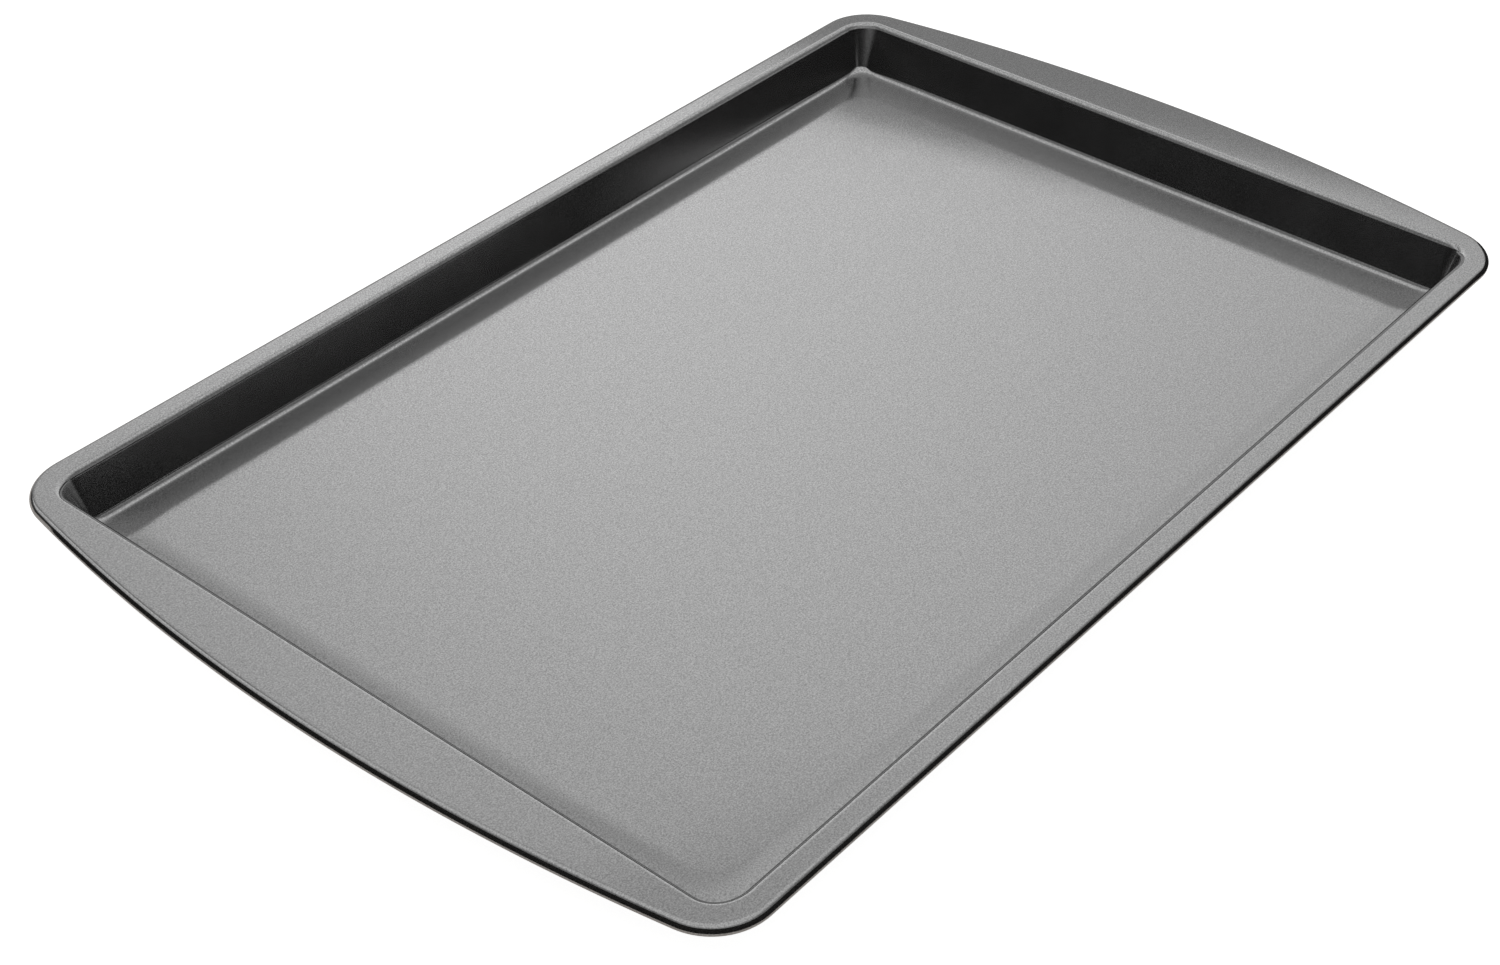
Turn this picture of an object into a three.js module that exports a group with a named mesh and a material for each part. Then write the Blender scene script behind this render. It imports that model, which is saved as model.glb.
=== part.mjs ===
// Rolled-rim cookie sheet: one pressed steel pan and the wire loop its rim is rolled around.
// Units are millimetres. The origin is under the middle of the base, with +X along the length,
// +Y across the width and +Z up.

import * as THREE from 'three';

// Overall outline, seen from above
const OVERALL_LENGTH = 450;
const OVERALL_WIDTH = 289.4;
const OVERALL_HEIGHT = 18.6;
const END_BOW_RADIUS = 720;
const OUTER_CORNER_RADIUS = 20;

// Baking well, measured on the inside where the walls would meet its lowest level. Its outline
// has rounder corners the further it is drawn in, from the walls to the base panel.
const WELL_LENGTH = 392;
const WELL_WIDTH = 260.8;
const WALL_CORNER_RADIUS = 4;
const BAND_CORNER_RADIUS = 12;
const PANEL_CORNER_RADIUS = 21;
const END_WALL_DRAFT = THREE.MathUtils.degToRad(21.5);
const SIDE_WALL_DRAFT = THREE.MathUtils.degToRad(15.5);

// Flat base panel, raised a little by the sloping band between it and the walls
const BAND_WIDTH = 7.5;
const BAND_SLOPE = THREE.MathUtils.degToRad(4.5);

// Sheet, and the radii of its upper surface at the two bends
const SHEET_THICKNESS = 0.5;
const BASE_BEND_RADIUS = 2.5;
const RIM_BEND_RADIUS = 2.6;

// Rolled edge: how far the sheet curls round, from flat on top
const BEAD_RADIUS = 2;
const CURL_SWEEP = THREE.MathUtils.degToRad(275);
const WIRE_CLEARANCE = 0.3;

// Facets of the curved forms
const END_FACETS = 10;
const CORNER_FACETS = 8;
const SIDE_FACETS = 6;
const BEND_FACETS = 5;
const CURL_FACETS = 12;
const WIRE_FACETS = 8;

const RIGHT_ANGLE = Math.PI / 2;
const wireRadius = BEAD_RADIUS - SHEET_THICKNESS - WIRE_CLEARANCE;
const bandFoot = SHEET_THICKNESS + BASE_BEND_RADIUS * (1 - Math.cos(BAND_SLOPE));
const panelLevel = bandFoot + BAND_WIDTH * Math.tan(BAND_SLOPE);

// Evenly spaced values from one number to another, both ends included.
function steps(from, to, count) {
  return Array.from({ length: count + 1 }, (_, i) => from + ((to - from) * i) / count);
}

// A point of an outline, with the outward direction that its offsets follow.
function station(x, y, heading) {
  return { x, y, heading };
}

// One end and one side of an outline, turned half round to give the other two.
function closeOutline(half) {
  const turned = half.map((s) => station(-s.x, -s.y, s.heading + Math.PI));
  return [...half, ...turned];
}

// The points of a rounded corner, without its last one, which begins the next run.
function cornerStations(centreX, centreY, radius, from, to) {
  return steps(from, to, CORNER_FACETS).slice(0, -1).map((heading) =>
    station(centreX + radius * Math.cos(heading), centreY + radius * Math.sin(heading), heading));
}

// A straight run along the far side, without its last point.
function sideStations(fromX, y) {
  return steps(fromX, -fromX, SIDE_FACETS).slice(0, -1).map((x) => station(x, y, RIGHT_ANGLE));
}

// The baking well: straight ends and sides with rounded corners.
function wellOutline(cornerRadius) {
  const halfLength = WELL_LENGTH / 2;
  const cornerX = halfLength - cornerRadius;
  const cornerY = WELL_WIDTH / 2 - cornerRadius;
  const end = steps(-cornerY, cornerY, END_FACETS).slice(0, -1).map((y) => station(halfLength, y, 0));
  const firstCorner = cornerStations(cornerX, cornerY, cornerRadius, 0, RIGHT_ANGLE);
  const side = sideStations(cornerX, WELL_WIDTH / 2);
  const secondCorner = cornerStations(-cornerX, cornerY, cornerRadius, RIGHT_ANGLE, Math.PI);
  return closeOutline([...end, ...firstCorner, ...side, ...secondCorner]);
}

// The outer edge: ends that bow outward and run smoothly into rounded corners.
function rimOutline() {
  const bowCentreX = OVERALL_LENGTH / 2 - END_BOW_RADIUS;
  const cornerY = OVERALL_WIDTH / 2 - OUTER_CORNER_RADIUS;
  const bowToCorner = Math.sqrt((END_BOW_RADIUS - OUTER_CORNER_RADIUS) ** 2 - cornerY ** 2);
  const cornerX = bowCentreX + bowToCorner;
  const bowHalfAngle = Math.atan2(cornerY, bowToCorner);
  const end = steps(-bowHalfAngle, bowHalfAngle, END_FACETS).slice(0, -1).map((heading) => station(
    bowCentreX + END_BOW_RADIUS * Math.cos(heading), END_BOW_RADIUS * Math.sin(heading), heading));
  const firstCorner = cornerStations(cornerX, cornerY, OUTER_CORNER_RADIUS, bowHalfAngle, RIGHT_ANGLE);
  const side = sideStations(cornerX, OVERALL_WIDTH / 2);
  const secondCorner = cornerStations(
    -cornerX, cornerY, OUTER_CORNER_RADIUS, RIGHT_ANGLE, Math.PI - bowHalfAngle);
  return closeOutline([...end, ...firstCorner, ...side, ...secondCorner]);
}

// A ring of points: each station moved outward by its own offset, at its own height.
function ring(outline, place) {
  return outline.map((s) => {
    const { out, z } = place(s);
    return new THREE.Vector3(s.x + out * Math.cos(s.heading), s.y + out * Math.sin(s.heading), z);
  });
}

// Wall draft at a station: the end and side values, blended round the corners.
function draftAt(heading) {
  return THREE.MathUtils.lerp(SIDE_WALL_DRAFT, END_WALL_DRAFT, Math.cos(heading) ** 2);
}

// How far a bend starts from the corner of the two planes it joins.
function bendSetback(radius, draft) {
  return radius * Math.tan((RIGHT_ANGLE - draft) / 2);
}

// The edge of the base panel. Depth is measured below the upper surface.
function panelRing(depth) {
  return ring(wellOutline(PANEL_CORNER_RADIUS), ({ heading }) => {
    const bendCentre = -bendSetback(BASE_BEND_RADIUS, draftAt(heading));
    const bandStart = bendCentre - BASE_BEND_RADIUS * Math.sin(BAND_SLOPE);
    return { out: bandStart - BAND_WIDTH, z: panelLevel - depth };
  });
}

// A ring on the bend between the sloping band and the wall. The corners start round and close up
// evenly to those of the wall.
function baseBendRing(share, depth) {
  const cornerRadius = THREE.MathUtils.lerp(BAND_CORNER_RADIUS, WALL_CORNER_RADIUS, share);
  return ring(wellOutline(cornerRadius), ({ heading }) => {
    const draft = draftAt(heading);
    const angle = THREE.MathUtils.lerp(-RIGHT_ANGLE - BAND_SLOPE, -draft, share);
    const radius = BASE_BEND_RADIUS + depth;
    return {
      out: -bendSetback(BASE_BEND_RADIUS, draft) + radius * Math.cos(angle),
      z: SHEET_THICKNESS + BASE_BEND_RADIUS + radius * Math.sin(angle),
    };
  });
}

// A ring on the bend between wall and rim.
function rimBendRing(share, depth) {
  return ring(wellOutline(WALL_CORNER_RADIUS), ({ heading }) => {
    const draft = draftAt(heading);
    const angle = THREE.MathUtils.lerp(Math.PI - draft, RIGHT_ANGLE, share);
    const radius = RIM_BEND_RADIUS - depth;
    const wallRun = (OVERALL_HEIGHT - SHEET_THICKNESS) * Math.tan(draft);
    return {
      out: wallRun + bendSetback(RIM_BEND_RADIUS, draft) + radius * Math.cos(angle),
      z: OVERALL_HEIGHT - RIM_BEND_RADIUS + radius * Math.sin(angle),
    };
  });
}

// A ring about the middle of the rolled edge, turned down from the top of the rim.
function beadRing(turn, radius) {
  return ring(rim, () => ({
    out: -BEAD_RADIUS + radius * Math.sin(turn),
    z: OVERALL_HEIGHT - BEAD_RADIUS + radius * Math.cos(turn),
  }));
}

// Faces between neighbouring rings.
function joinRings(triangles, ringCount, size, closed) {
  const last = closed ? ringCount : ringCount - 1;
  for (let r = 0; r < last; r += 1) {
    const lower = r * size;
    const upper = ((r + 1) % ringCount) * size;
    for (let i = 0; i < size; i += 1) {
      const next = (i + 1) % size;
      triangles.push(lower + i, upper + next, lower + next);
      triangles.push(lower + i, upper + i, upper + next);
    }
  }
}

// One named mesh from points and triangles.
function makeMesh(name, points, triangles, look) {
  const geometry = new THREE.BufferGeometry().setFromPoints(points);
  geometry.setIndex(triangles);
  geometry.computeVertexNormals();
  const mesh = new THREE.Mesh(geometry, new THREE.MeshStandardMaterial(look));
  mesh.name = name;
  return mesh;
}

// The pan: its upper surface from the base out to the curled lip, then its under surface back.
function makePan(look) {
  const bendShares = steps(0, 1, BEND_FACETS);
  const curlTurns = steps(0, CURL_SWEEP, CURL_FACETS);
  const upper = [
    panelRing(0),
    ...bendShares.map((share) => baseBendRing(share, 0)),
    ...bendShares.map((share) => rimBendRing(share, 0)),
    ...curlTurns.map((turn) => beadRing(turn, BEAD_RADIUS)),
  ];
  const under = [
    panelRing(SHEET_THICKNESS),
    ...bendShares.map((share) => baseBendRing(share, SHEET_THICKNESS)),
    ...bendShares.map((share) => rimBendRing(share, SHEET_THICKNESS)),
    ...curlTurns.map((turn) => beadRing(turn, BEAD_RADIUS - SHEET_THICKNESS)),
  ].reverse();
  const rings = [...upper, ...under];
  const size = rim.length;
  const points = rings.flat();
  const triangles = [];
  joinRings(triangles, rings.length, size, false);

  const middleTop = points.push(new THREE.Vector3(0, 0, panelLevel)) - 1;
  const middleUnder = points.push(new THREE.Vector3(0, 0, panelLevel - SHEET_THICKNESS)) - 1;
  const lastRing = (rings.length - 1) * size;
  for (let i = 0; i < size; i += 1) {
    const next = (i + 1) % size;
    triangles.push(middleTop, i, next);
    triangles.push(middleUnder, lastRing + next, lastRing + i);
  }
  return makeMesh('pan_body', points, triangles, look);
}

// The wire: a round loop along the middle of the rolled edge.
function makeWire(look) {
  const turns = steps(0, 2 * Math.PI, WIRE_FACETS).slice(0, -1);
  const rings = turns.map((turn) => beadRing(turn, wireRadius));
  const triangles = [];
  joinRings(triangles, rings.length, rim.length, true);
  return makeMesh('rim_wire', rings.flat(), triangles, look);
}

const rim = rimOutline();

const group = new THREE.Group();
group.name = 'cookie_sheet';
group.add(makePan({ color: 0x77777a, roughness: 0.4, metalness: 0.8 }));
group.add(makeWire({ color: 0xa6a8aa, roughness: 0.35, metalness: 1 }));

export default group;
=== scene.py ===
"""Looks of the cookie sheet: a fine pressed shell and its rim wire, in a plain studio.

Lengths are millimetres, as in the part's source. Blender gets metres.
"""

import math

import bpy
from mathutils import Matrix, Vector


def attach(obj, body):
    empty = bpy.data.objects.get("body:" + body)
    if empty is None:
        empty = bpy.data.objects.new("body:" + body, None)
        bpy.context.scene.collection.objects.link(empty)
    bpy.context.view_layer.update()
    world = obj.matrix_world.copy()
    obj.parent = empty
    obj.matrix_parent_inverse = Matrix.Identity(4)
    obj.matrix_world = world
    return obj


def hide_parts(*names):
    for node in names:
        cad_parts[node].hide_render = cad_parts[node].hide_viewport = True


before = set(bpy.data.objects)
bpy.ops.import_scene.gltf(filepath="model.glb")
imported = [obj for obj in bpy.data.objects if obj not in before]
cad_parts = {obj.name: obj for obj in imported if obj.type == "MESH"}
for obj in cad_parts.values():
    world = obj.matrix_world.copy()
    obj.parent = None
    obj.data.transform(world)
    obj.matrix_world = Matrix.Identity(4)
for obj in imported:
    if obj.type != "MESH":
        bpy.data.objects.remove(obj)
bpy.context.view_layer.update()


def grey(level):
    return (level, level, level)


MM = 0.001
RIGHT_ANGLE = math.pi / 2
UP = Vector((0, 0, 1))
BLACK = grey(0)
WHITE = grey(1)

# Overall outline, seen from above. The visual shell stays a hair inside the CAD model's box.
BOX_MARGIN = 0.01
OVERALL_LENGTH = 450 - 2 * BOX_MARGIN
OVERALL_WIDTH = 289.4 - 2 * BOX_MARGIN
OVERALL_HEIGHT = 18.6
END_BOW_RADIUS = 720
OUTER_CORNER_RADIUS = 20

# Baking well, measured on the inside where the walls would meet its lowest level. Its outline
# has rounder corners the further it is drawn in, from the walls to the base panel.
WELL_LENGTH = 392
WELL_WIDTH = 260.8
WALL_CORNER_RADIUS = 4
BAND_CORNER_RADIUS = 12
PANEL_CORNER_RADIUS = 21
END_WALL_DRAFT = math.radians(21.5)
SIDE_WALL_DRAFT = math.radians(15.5)

# Flat base panel, raised a little by the sloping band between it and the walls. The crease where
# they meet is eased over the same length on both sides of it.
BAND_WIDTH = 7.5
BAND_SLOPE = math.radians(4.5)
BAND_EASE = 3.0

# Sheet, bends and rolled edge.
SHEET_THICKNESS = 0.5
BASE_BEND_RADIUS = 2.5
RIM_BEND_RADIUS = 2.6
BEAD_RADIUS = 2
CURL_SWEEP = math.radians(275)
WIRE_RADIUS = 1.2

# Facets of the curved forms.
END_FACETS = 60
CORNER_FACETS = 20
SIDE_FACETS = 80
BEND_FACETS = 14
CURL_FACETS = 30
WIRE_FACETS = 16
BAND_FACETS = 4
BAND_EASE_FACETS = 6

# Rings across the flat faces, as shares of each face. The outer ones, and one close to the end of
# the bend at the foot of the walls, carry a face's shading right up to the bend beside it.
PANEL_SHARES = (0.2, 0.5, 0.8, 0.98, 0.995)
WALL_SHARES = (0.01, 0.25, 0.5, 0.75, 0.99)
FLANGE_SHARES = (0.03, 0.3, 0.7, 0.97)
BASE_BEND_LAST_SHARE = 0.98

# Part of a noise's range that the looks below are spread over.
NOISE_SPAN = (0.3, 0.7)

# Non-stick coat. Faces that point up no more than the walls do are a little rougher.
COAT_METALLIC = 0.95
FLAKE_SCALE = 2000
FLAKE_DETAIL = 2
FLAKE_ROUGHNESS = 0.7
FLAKE_COLOURS = (grey(0.265), grey(0.525))
FLAKE_HEIGHT = 0.006
CLOUD_SCALE = 60
CLOUD_DETAIL = 2
COAT_ROUGHNESS = (0.095, 0.115)
STEEP_UPWARD = (0.37, 0.6)
STEEP_ROUGHNESS = 0.05

# Drawn wire.
MOTTLE_SCALE = 900
MOTTLE_DETAIL = 4
WIRE_COLOURS = ((0.48, 0.48, 0.49), (0.62, 0.62, 0.63))
WIRE_ROUGHNESS = (0.3, 0.45)

# Floor: a hair below the pan, and how brightly each kind of ray sees it glow.
FLOOR_SIZE = 30000
FLOOR_GAP = 0.2
FLOOR_COLOUR = grey(0.5)
FLOOR_REFLECTION_TINT = (1, 0.88, 0.78)
FLOOR_GLOW = {"Is Camera Ray": 0.92, "Is Glossy Ray": 0.3, "Is Transmission Ray": 0.3}

# Scrim: lit cloth upright beyond the far end. Its points are (along, height) on the cloth.
SCRIM_HEADING = math.radians(21.6)
SCRIM_DISTANCE = 2214
SCRIM_CORNERS = ((-842, 1060), (4500, 1475), (4500, 6206))
SCRIM_PEAK = 1.367
HOT_SPOT = (1063, 467)
HOT_SPOT_REACH = (1719, 2620)

# Card: grey and upright, in front of the scrim's foot. The points of its top edge are (along, height).
CARD_HEADING = math.radians(19)
CARD_DISTANCE = 428
CARD_RIGHT = (-700, 209)
CARD_MIDDLE = (150, 143)
CARD_LEFT = (1400, 566)
CARD_GLOW = 0.4

# Fence: a near-black sheet round the near end and the right side, a little off the rolled edge. It
# shows only in reflections, where it paints a dark reflection line along the rolled edge.
FENCE_GAP = 8
FENCE_FOOT = 10
FENCE_TOP = 26
DARK_SHEET_SCALE = 200
DARK_SHEET_DETAIL = 3
DARK_SHEET_COLOURS = ((0.016, 0.014, 0.012), (0.02, 0.017, 0.015))

# Room: its tones by how nearly a direction points to its middle. Only a share is left where the
# direction is low. Heights of directions are their upward parts.
ROOM_MIDDLE = (0.455, 0.594, 0.665)
ROOM_TONES = (
    (0.0, (0.008, 0.007, 0.006)),
    (0.35, (0.08, 0.075, 0.07)),
    (0.45, grey(0.3)),
    (0.55, grey(0.46)),
    (0.65, grey(0.65)),
    (0.75, grey(0.79)),
    (0.85, grey(0.93)),
    (0.93, grey(0.82)),
    (0.972, grey(0.76)),
    (0.985, grey(0.58)),
    (1.0, grey(0.5)),
)
ROOM_FOOT = (0.4, 0.45)
ROOM_FOOT_SHARE = 0.1

# Overhead light: its tones by the height of a direction.
OVERHEAD_TONES = ((0.72, BLACK), (0.8, grey(0.4)), (0.9, grey(0.85)))

# Fill on the camera's side, seen in first reflections only. Its tones run over a span of closeness
# to that side, and low directions have none of it.
FILL_SIDE = (-0.65, -0.76, 0)
FILL_SPAN = (-0.4, 0.6)
FILL_TONES = ((0.05, BLACK), (0.2, grey(0.26)), (0.62, grey(0.26)), (1, grey(0.45)))
FILL_FOOT = (0.225, 0.27)
FILL_REFLECTIONS = (1, 2)

# Camera, from the photograph: the point looked at, and where it is looked at from.
LOOK_AT = Vector((-42.153, -10.597, -1.84))
CAMERA_AZIMUTH = math.radians(-50.255)
CAMERA_ELEVATION = math.radians(37.608)
CAMERA_ROLL = math.radians(0.284)
CAMERA_DISTANCE = 801.749
SENSOR_WIDTH = 36
LENS = 59.876
CLIP_START = 10


def steps(start, end, count):
    """Evenly spaced values, both ends included."""
    return [start + (end - start) * i / count for i in range(count + 1)]


def blend(a, b, share):
    return a + (b - a) * share


# Outlines: lists of (x, y, heading), heading being the outward direction.


def corner_run(centre_x, centre_y, radius, start, end):
    return [
        (centre_x + radius * math.cos(h), centre_y + radius * math.sin(h), h)
        for h in steps(start, end, CORNER_FACETS)[:-1]
    ]


def side_run(corner_x, y):
    return [(x, y, RIGHT_ANGLE) for x in steps(corner_x, -corner_x, SIDE_FACETS)[:-1]]


def close_outline(half):
    """One end and one side, turned half round to give the other two."""
    return half + [(-x, -y, heading + math.pi) for x, y, heading in half]


def well_outline(corner_radius):
    half_length = WELL_LENGTH / 2
    corner_x = half_length - corner_radius
    corner_y = WELL_WIDTH / 2 - corner_radius
    end = [(half_length, y, 0.0) for y in steps(-corner_y, corner_y, END_FACETS)[:-1]]
    return close_outline(
        end
        + corner_run(corner_x, corner_y, corner_radius, 0, RIGHT_ANGLE)
        + side_run(corner_x, WELL_WIDTH / 2)
        + corner_run(-corner_x, corner_y, corner_radius, RIGHT_ANGLE, math.pi)
    )


def rim_outline():
    """The outer edge: ends that bow outward and run smoothly into rounded corners."""
    bow_centre = OVERALL_LENGTH / 2 - END_BOW_RADIUS
    corner_y = OVERALL_WIDTH / 2 - OUTER_CORNER_RADIUS
    bow_to_corner = math.sqrt((END_BOW_RADIUS - OUTER_CORNER_RADIUS) ** 2 - corner_y**2)
    corner_x = bow_centre + bow_to_corner
    half_angle = math.atan2(corner_y, bow_to_corner)
    end = [
        (bow_centre + END_BOW_RADIUS * math.cos(h), END_BOW_RADIUS * math.sin(h), h)
        for h in steps(-half_angle, half_angle, END_FACETS)[:-1]
    ]
    return close_outline(
        end
        + corner_run(corner_x, corner_y, OUTER_CORNER_RADIUS, half_angle, RIGHT_ANGLE)
        + side_run(corner_x, OVERALL_WIDTH / 2)
        + corner_run(
            -corner_x, corner_y, OUTER_CORNER_RADIUS, RIGHT_ANGLE, math.pi - half_angle
        )
    )


RIM = rim_outline()


# Rings: lists of points, one for each station of the outlines. Depth is measured below the upper
# surface of the sheet.


def ring(outline, place):
    points = []
    for x, y, heading in outline:
        out, z = place(heading)
        points.append(Vector((x + out * math.cos(heading), y + out * math.sin(heading), z)))
    return points


def between(first, second, share):
    return [a.lerp(b, share) for a, b in zip(first, second)]


def draft_at(heading):
    """Draft of the wall: the end and side values, blended round the corners."""
    return blend(SIDE_WALL_DRAFT, END_WALL_DRAFT, math.cos(heading) ** 2)


def bend_setback(radius, draft):
    """How far a bend starts from the corner of the two planes it joins."""
    return radius * math.tan((RIGHT_ANGLE - draft) / 2)


def band_ring(inset, depth):
    """A ring on the sloping band or its eased crease, some way in from the bend at its foot."""
    foot = SHEET_THICKNESS + BASE_BEND_RADIUS * (1 - math.cos(BAND_SLOPE))
    past_crease = inset - BAND_WIDTH
    rise = min(inset, BAND_WIDTH)
    if abs(past_crease) < BAND_EASE:
        rise = inset - (past_crease + BAND_EASE) ** 2 / (4 * BAND_EASE)
    z = foot + rise * math.tan(BAND_SLOPE) - depth

    def place(heading):
        bend_centre = -bend_setback(BASE_BEND_RADIUS, draft_at(heading))
        return bend_centre - BASE_BEND_RADIUS * math.sin(BAND_SLOPE) - inset, z

    corner_radius = blend(BAND_CORNER_RADIUS, PANEL_CORNER_RADIUS, inset / BAND_WIDTH)
    return ring(well_outline(corner_radius), place)


def base_bend_ring(share, depth):
    """A ring on the bend between band and wall, whose corners close up to those of the wall."""
    corner_radius = blend(BAND_CORNER_RADIUS, WALL_CORNER_RADIUS, share)

    def place(heading):
        draft = draft_at(heading)
        angle = blend(-RIGHT_ANGLE - BAND_SLOPE, -draft, share)
        radius = BASE_BEND_RADIUS + depth
        out = -bend_setback(BASE_BEND_RADIUS, draft) + radius * math.cos(angle)
        return out, SHEET_THICKNESS + BASE_BEND_RADIUS + radius * math.sin(angle)

    return ring(well_outline(corner_radius), place)


def rim_bend_ring(share, depth):
    """A ring on the bend between wall and rim."""

    def place(heading):
        draft = draft_at(heading)
        angle = blend(math.pi - draft, RIGHT_ANGLE, share)
        radius = RIM_BEND_RADIUS - depth
        wall_run = (OVERALL_HEIGHT - SHEET_THICKNESS) * math.tan(draft)
        out = wall_run + bend_setback(RIM_BEND_RADIUS, draft) + radius * math.cos(angle)
        return out, OVERALL_HEIGHT - RIM_BEND_RADIUS + radius * math.sin(angle)

    return ring(well_outline(WALL_CORNER_RADIUS), place)


def bead_ring(turn, radius):
    """A ring about the middle of the rolled edge, turned down from the top of the rim."""
    out = -BEAD_RADIUS + radius * math.sin(turn)
    z = OVERALL_HEIGHT - BEAD_RADIUS + radius * math.cos(turn)
    return ring(RIM, lambda heading: (out, z))


def face_rings(depth):
    """Rings of one face of the sheet, from the middle of the base to the curled lip."""
    bend_shares = steps(0, 1, BEND_FACETS)
    base_bend_shares = bend_shares[:-1] + [BASE_BEND_LAST_SHARE, 1]
    base_bend = [base_bend_ring(share, depth) for share in base_bend_shares]
    rim_bend = [rim_bend_ring(share, depth) for share in bend_shares]
    curl = [bead_ring(turn, BEAD_RADIUS - depth) for turn in steps(0, CURL_SWEEP, CURL_FACETS)]
    crease_insets = steps(BAND_WIDTH + BAND_EASE, BAND_WIDTH - BAND_EASE, BAND_EASE_FACETS)
    slope_insets = steps(BAND_WIDTH - BAND_EASE, 0, BAND_FACETS)[1:-1]
    band = [band_ring(inset, depth) for inset in crease_insets + slope_insets]
    middle = [Vector((0, 0, band[0][0].z))] * len(RIM)
    panel = [between(middle, band[0], share) for share in PANEL_SHARES]
    wall = [between(base_bend[-1], rim_bend[0], share) for share in WALL_SHARES]
    flange = [between(rim_bend[-1], curl[0], share) for share in FLANGE_SHARES]
    return panel + band + base_bend + wall + rim_bend + flange + curl


# Meshes.


def flatten(rings):
    return [point for points in rings for point in points]


def join_rings(rings, closed):
    """Quads between neighbouring rings of equal size."""
    size = len(rings[0])
    faces = []
    for r in range(len(rings) if closed else len(rings) - 1):
        low = r * size
        high = ((r + 1) % len(rings)) * size
        for i in range(size):
            j = (i + 1) % size
            faces.append((low + i, high + i, high + j, low + j))
    return faces


def make_piece(name, points, faces, material):
    mesh = bpy.data.meshes.new(name)
    mesh.from_pydata([point * MM for point in points], [], faces)
    mesh.polygons.foreach_set("use_smooth", [True] * len(mesh.polygons))
    mesh.materials.append(material)
    mesh.update()
    piece = bpy.data.objects.new(name, mesh)
    bpy.context.scene.collection.objects.link(piece)
    return piece


def make_pan(material):
    """The upper face of the sheet out to the curled lip, then its under face back."""
    rings = face_rings(0) + face_rings(SHEET_THICKNESS)[::-1]
    points = flatten(rings)
    faces = join_rings(rings, closed=False)
    size = len(RIM)
    last = (len(rings) - 1) * size
    points += [Vector((0, 0, rings[0][0].z)), Vector((0, 0, rings[-1][0].z))]
    top, under = len(points) - 2, len(points) - 1
    for i in range(size):
        j = (i + 1) % size
        faces.append((top, i, j))
        faces.append((under, last + j, last + i))
    return make_piece("pressed_pan", points, faces, material)


def make_wire(material):
    turns = steps(0, 2 * math.pi, WIRE_FACETS)[:-1]
    rings = [bead_ring(turn, WIRE_RADIUS) for turn in turns]
    return make_piece("wire_loop", flatten(rings), join_rings(rings, closed=True), material)


# Shader nodes.


class Graph:
    """The nodes of a material or world, with a short way to add each kind."""

    def __init__(self, tree):
        self.nodes = tree.nodes
        self.links = tree.links

    def add(self, kind, operation=None):
        node = self.nodes.new("ShaderNode" + kind)
        if operation:
            node.operation = operation
        return node

    def feed(self, value, socket):
        """Link another node's output to a socket, or set the socket to a constant."""
        if isinstance(value, bpy.types.NodeSocket):
            self.links.new(value, socket)
        else:
            socket.default_value = value

    def math(self, operation, first, second):
        node = self.add("Math", operation)
        self.feed(first, node.inputs[0])
        self.feed(second, node.inputs[1])
        return node.outputs["Value"]

    def vector_math(self, operation, first, second):
        node = self.add("VectorMath", operation)
        self.feed(first, node.inputs[0])
        self.feed(second, node.inputs[1])
        return node.outputs["Value" if operation == "DOT_PRODUCT" else "Vector"]

    def scaled(self, vector, factor):
        node = self.add("VectorMath", "SCALE")
        self.feed(vector, node.inputs[0])
        self.feed(factor, node.inputs["Scale"])
        return node.outputs["Vector"]

    def height_of(self, vector):
        node = self.add("SeparateXYZ")
        self.links.new(vector, node.inputs["Vector"])
        return node.outputs["Z"]

    def place_on_piece(self):
        return self.add("TexCoord").outputs["Object"]

    def noise(self, scale, detail, roughness=0.5):
        node = self.add("TexNoise")
        node.inputs["Scale"].default_value = scale
        node.inputs["Detail"].default_value = detail
        node.inputs["Roughness"].default_value = roughness
        self.links.new(self.place_on_piece(), node.inputs["Vector"])
        return node.outputs["Fac"]

    def spread(self, value, span, low, high):
        """Turn a span of values evenly into low to high, held at both ends."""
        node = self.add("MapRange")
        node.inputs["From Min"].default_value, node.inputs["From Max"].default_value = span
        node.inputs["To Min"].default_value = low
        node.inputs["To Max"].default_value = high
        self.links.new(value, node.inputs["Value"])
        return node.outputs["Result"]

    def ramp(self, value, stops):
        node = self.add("ValToRGB")
        elements = node.color_ramp.elements
        while len(elements) < len(stops):
            elements.new(0.5)
        for element, (position, colour) in zip(elements, stops):
            element.position = position
            element.color = (*colour, 1)
        self.links.new(value, node.inputs["Fac"])
        return node.outputs["Color"]

    def shades(self, noise, colours):
        """A colour that follows a noise from one colour to another."""
        return self.ramp(noise, tuple(zip(NOISE_SPAN, colours)))

    def show(self, shader):
        self.links.new(shader, self.nodes["Material Output"].inputs["Surface"])


# Materials.


def new_material(name):
    """A material with its graph and its Principled shader."""
    material = bpy.data.materials.new(name)
    material.use_nodes = True
    graph = Graph(material.node_tree)
    return material, graph, graph.nodes["Principled BSDF"]


def new_light_material(name):
    """A material with its graph and an Emission shader in the other one's place."""
    material, graph, shader = new_material(name)
    graph.nodes.remove(shader)
    return material, graph, graph.add("Emission")


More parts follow.
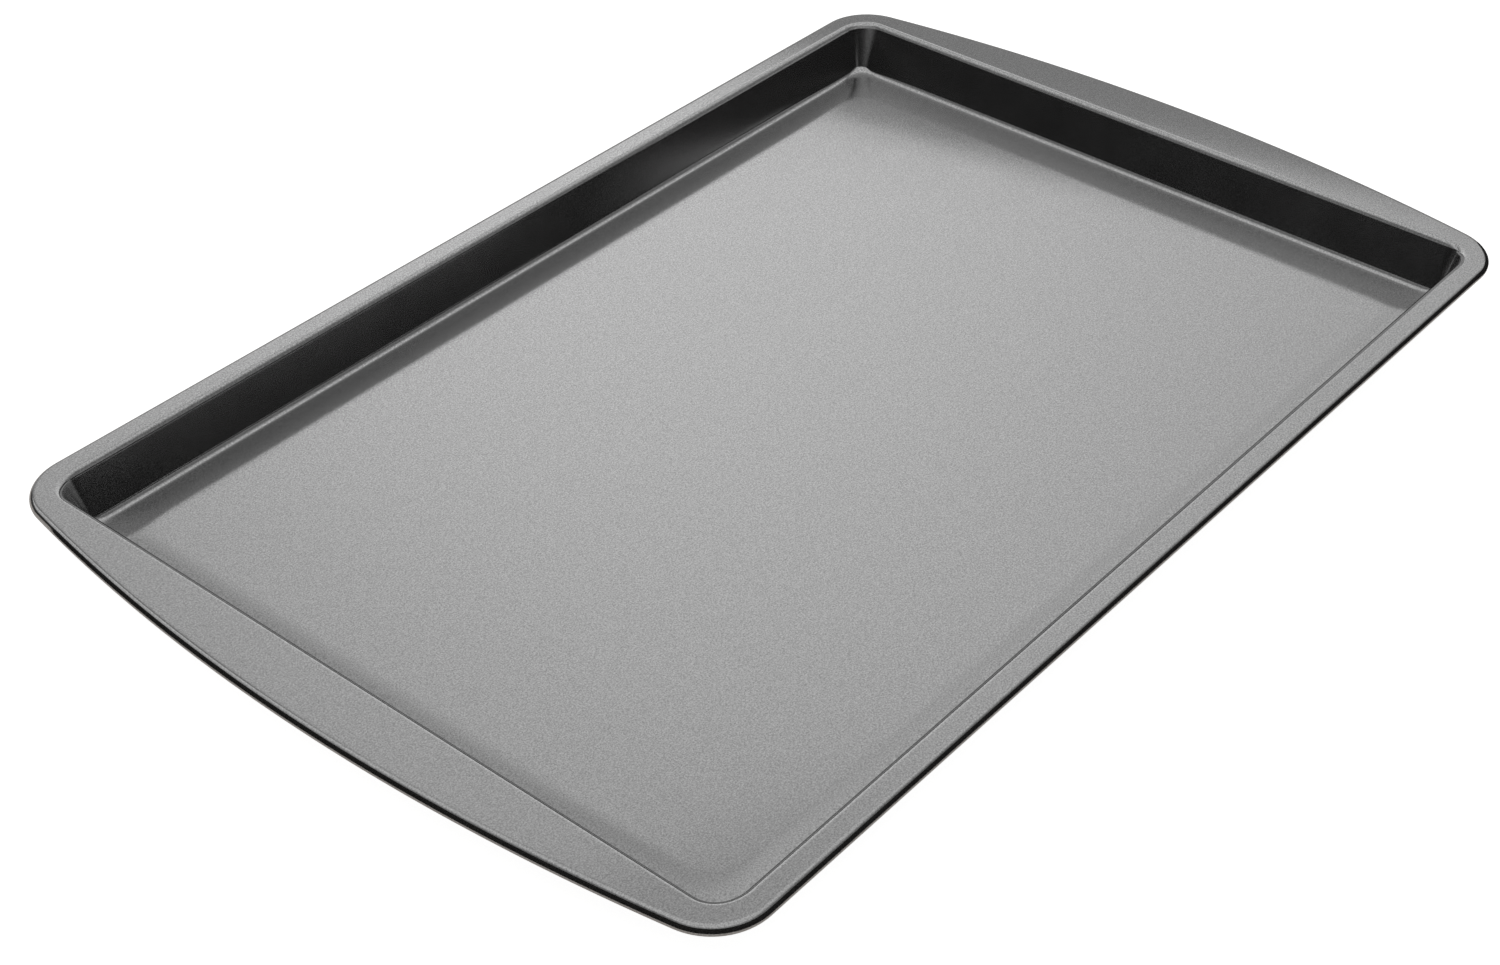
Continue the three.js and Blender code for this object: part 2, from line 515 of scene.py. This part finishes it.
def nonstick_coat():
    """Grey metallic non-stick coat: satin, with a fine flake."""
    material, graph, shader = new_material("nonstick_coat")
    shader.inputs["Metallic"].default_value = COAT_METALLIC
    flake = graph.noise(FLAKE_SCALE, FLAKE_DETAIL, FLAKE_ROUGHNESS)
    cloud = graph.noise(CLOUD_SCALE, CLOUD_DETAIL)
    graph.feed(graph.shades(flake, FLAKE_COLOURS), shader.inputs["Base Color"])
    upward = graph.height_of(graph.add("NewGeometry").outputs["Normal"])
    steep = graph.spread(upward, STEEP_UPWARD, STEEP_ROUGHNESS, 0)
    satin = graph.spread(cloud, NOISE_SPAN, *COAT_ROUGHNESS)
    graph.feed(graph.math("ADD", satin, steep), shader.inputs["Roughness"])
    bump = graph.add("Bump")
    bump.inputs["Strength"].default_value = 1.0
    bump.inputs["Distance"].default_value = FLAKE_HEIGHT * MM
    graph.feed(flake, bump.inputs["Height"])
    graph.feed(bump.outputs["Normal"], shader.inputs["Normal"])
    return material


def wire_steel():
    """Plain drawn wire: bright steel, finely mottled."""
    material, graph, shader = new_material("wire_steel")
    shader.inputs["Metallic"].default_value = 1.0
    mottle = graph.noise(MOTTLE_SCALE, MOTTLE_DETAIL)
    graph.feed(graph.shades(mottle, WIRE_COLOURS), shader.inputs["Base Color"])
    graph.feed(graph.spread(mottle, NOISE_SPAN, *WIRE_ROUGHNESS), shader.inputs["Roughness"])
    return material


def floor_material():
    """Pale matt floor that reads as white to the camera, glows in reflections and keeps shadows."""
    material, graph, glow = new_light_material("floor")
    path = graph.add("LightPath")
    tints = ((0, FLOOR_REFLECTION_TINT), (1, WHITE))
    graph.feed(graph.ramp(path.outputs["Is Camera Ray"], tints), glow.inputs["Color"])
    strength = 0
    for ray, share in FLOOR_GLOW.items():
        strength = graph.math("MAXIMUM", strength, graph.spread(path.outputs[ray], (0, 1), 0, share))
    graph.feed(strength, glow.inputs["Strength"])
    matt = graph.add("BsdfDiffuse")
    matt.inputs["Color"].default_value = (*FLOOR_COLOUR, 1)
    both = graph.add("AddShader")
    graph.feed(matt.outputs["BSDF"], both.inputs[0])
    graph.feed(glow.outputs["Emission"], both.inputs[1])
    graph.show(both.outputs["Shader"])
    return material


def scrim_material():
    """Lit cloth of the soft light: brightest at one spot, fading evenly away from it."""
    material, graph, glow = new_light_material("scrim")
    hot_spot = scrim_point(*HOT_SPOT) * MM
    away = graph.vector_math("SUBTRACT", graph.place_on_piece(), hot_spot)
    fading = 1
    for axis, reach in zip((upright(SCRIM_HEADING)[1], UP), HOT_SPOT_REACH):
        part = graph.vector_math("DOT_PRODUCT", away, axis / (reach * MM))
        fading = graph.math("ADD", graph.math("MULTIPLY", part, part), fading)
    graph.feed(graph.math("DIVIDE", SCRIM_PEAK, fading), glow.inputs["Strength"])
    graph.show(glow.outputs["Emission"])
    return material


def card_material():
    """Evenly lit grey card."""
    material, graph, glow = new_light_material("card")
    glow.inputs["Strength"].default_value = CARD_GLOW
    graph.show(glow.outputs["Emission"])
    return material


def fence_material():
    """Near-black sheet with a faint random tone, seen only in reflections: a painted dark reflection
    line along the rolled edge.
    """
    material, graph, shader = new_material("fence")
    shader.inputs["Roughness"].default_value = 1.0
    shader.inputs["Specular IOR Level"].default_value = 0.0
    dark_sheet = graph.noise(DARK_SHEET_SCALE, DARK_SHEET_DETAIL)
    graph.feed(graph.shades(dark_sheet, DARK_SHEET_COLOURS), shader.inputs["Base Color"])
    return material


# Studio.


def upright(heading):
    """Directions of an upright sheet that faces a heading: out to it, and along it."""
    return (
        Vector((math.cos(heading), math.sin(heading), 0)),
        Vector((-math.sin(heading), math.cos(heading), 0)),
    )


def sheet_point(heading, distance, along, height):
    out, across = upright(heading)
    return out * distance + across * along + UP * height


def scrim_point(along, height):
    return sheet_point(SCRIM_HEADING, SCRIM_DISTANCE, along, height)


def card_point(along, height):
    return sheet_point(CARD_HEADING, CARD_DISTANCE, along, height)


def add_plane(name, corners, material):
    plane = make_piece(name, corners, [range(len(corners))], material)
    return plane


def add_floor():
    half = FLOOR_SIZE / 2
    corners = ((-half, -half), (half, -half), (half, half), (-half, half))
    add_plane("floor", [Vector((x, y, -FLOOR_GAP)) for x, y in corners], floor_material())


def add_scrim():
    return add_plane("scrim", [scrim_point(*corner) for corner in SCRIM_CORNERS], scrim_material())


def add_card():
    foot = [card_point(CARD_RIGHT[0], 0), card_point(CARD_LEFT[0], 0)]
    top = [card_point(*corner) for corner in (CARD_LEFT, CARD_MIDDLE, CARD_RIGHT)]
    return add_plane("card", foot + top, card_material())


def add_fence():
    near_and_right = RIM[len(RIM) // 2 :]
    foot = ring(near_and_right, lambda heading: (FENCE_GAP, FENCE_FOOT))
    top = ring(near_and_right, lambda heading: (FENCE_GAP, FENCE_TOP))
    size = len(near_and_right)
    faces = [(i, i + 1, size + i + 1, size + i) for i in range(size - 1)]
    fence = make_piece("fence", foot + top, faces, fence_material())
    # Painted reflection: the sheet casts no shadow and lights nothing, so it shows only as the dark
    # line it leaves in reflections on the rolled edge.
    fence.visible_diffuse = False
    fence.visible_shadow = False
    return fence


def room_light(graph, direction, height):
    room = graph.ramp(graph.vector_math("DOT_PRODUCT", direction, ROOM_MIDDLE), ROOM_TONES)
    return graph.scaled(room, graph.spread(height, ROOM_FOOT, ROOM_FOOT_SHARE, 1))


def fill_light(graph, direction, height, path):
    side = graph.vector_math("DOT_PRODUCT", direction, FILL_SIDE)
    fill = graph.ramp(graph.spread(side, FILL_SPAN, 0, 1), FILL_TONES)
    raised = graph.math("MULTIPLY", fill, graph.spread(height, FILL_FOOT, 0, 1))
    first_only = graph.spread(path.outputs["Glossy Depth"], FILL_REFLECTIONS, 1, 0)
    return graph.math("MULTIPLY", raised, first_only)


def add_world():
    """The brightest of room, overhead light and fill in each direction, and white to the camera."""
    world = bpy.data.worlds.new("studio")
    bpy.context.scene.world = world
    world.use_nodes = True
    graph = Graph(world.node_tree)
    direction = graph.add("TexCoord").outputs["Generated"]
    height = graph.height_of(direction)
    path = graph.add("LightPath")
    light = room_light(graph, direction, height)
    for other in (
        graph.ramp(height, OVERHEAD_TONES),
        fill_light(graph, direction, height, path),
        path.outputs["Is Camera Ray"],
    ):
        light = graph.vector_math("MAXIMUM", light, other)
    graph.feed(light, graph.nodes["Background"].inputs["Color"])


def add_studio():
    add_floor()
    for sheet in (add_scrim(), add_card(), add_fence()):
        sheet.visible_camera = False
    add_world()


def add_camera():
    back = Vector((
        math.sin(CAMERA_AZIMUTH) * math.cos(CAMERA_ELEVATION),
        -math.cos(CAMERA_AZIMUTH) * math.cos(CAMERA_ELEVATION),
        math.sin(CAMERA_ELEVATION),
    ))
    level_right = (-back).cross(UP).normalized()
    level_up = level_right.cross(-back)
    right = math.cos(CAMERA_ROLL) * level_right + math.sin(CAMERA_ROLL) * level_up
    up = -math.sin(CAMERA_ROLL) * level_right + math.cos(CAMERA_ROLL) * level_up
    data = bpy.data.cameras.new("camera")
    data.sensor_fit = "HORIZONTAL"
    data.sensor_width = SENSOR_WIDTH
    data.lens = LENS
    data.clip_start = CLIP_START * MM
    camera = bpy.data.objects.new("camera", data)
    turn = Matrix((right, up, back)).transposed().to_4x4()
    camera.matrix_world = Matrix.Translation((LOOK_AT + back * CAMERA_DISTANCE) * MM) @ turn
    bpy.context.scene.collection.objects.link(camera)
    bpy.context.scene.camera = camera


pan = make_pan(nonstick_coat())
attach(pan, "root")
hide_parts("pan_body")

wire = make_wire(wire_steel())
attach(wire, "root")
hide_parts("rim_wire")

add_studio()
add_camera()
bpy.context.scene.view_settings.view_transform = "Standard"
